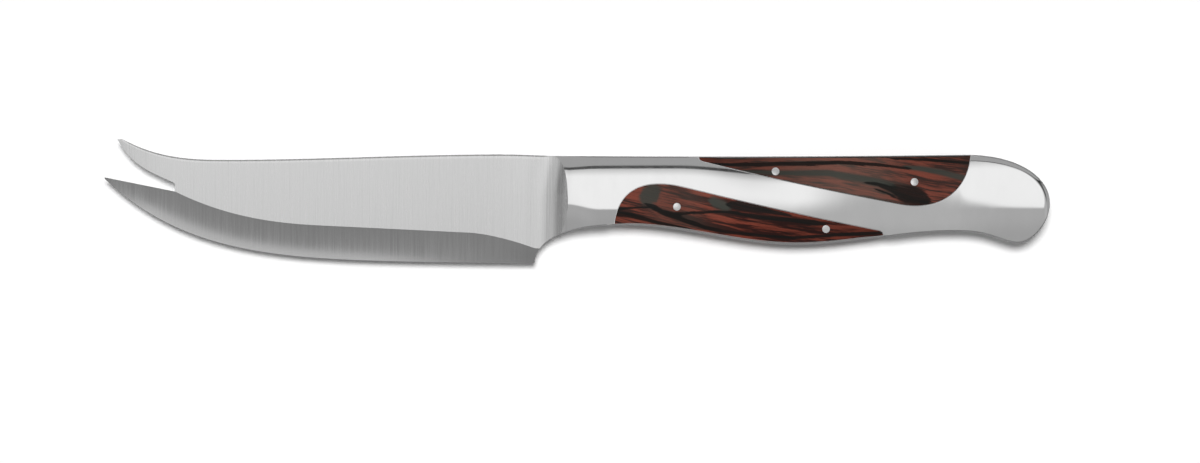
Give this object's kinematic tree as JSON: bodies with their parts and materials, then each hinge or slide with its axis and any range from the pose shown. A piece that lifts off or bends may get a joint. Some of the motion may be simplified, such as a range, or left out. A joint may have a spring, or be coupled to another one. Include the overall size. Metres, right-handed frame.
{
  "type": "bar knife",
  "caption": "Forged bar knife with a forked tip, a hollow-ground blade, a concave bolster and a polished steel handle with pinned wood inlays.",
  "frame": {"origin": "middle of the bounding box's base: the knife lies on the flat land of its right side, on the plane Z = 0", "axes": "+X along the knife from tip to butt, +Y from cutting edge to spine, +Z out of the knife's left side"},
  "size_m": [0.2596, 0.034, 0.0144],
  "materials": {
    "forged_steel": "blade brushed across its length, handle mirror polished",
    "inlay_wood": "dense red-brown wood laminate with black streaks, satin",
    "pin_steel": "polished, ground flush with the handle"
  },
  "bodies": {
    "root": {"forged_body": "forged_steel", "upper_left_inlay": "inlay_wood", "upper_right_inlay": "inlay_wood", "lower_left_inlay": "inlay_wood", "lower_right_inlay": "inlay_wood", "upper_front_pin": "pin_steel", "upper_rear_pin": "pin_steel", "lower_front_pin": "pin_steel", "lower_rear_pin": "pin_steel"}
  },
  "joints": []
}
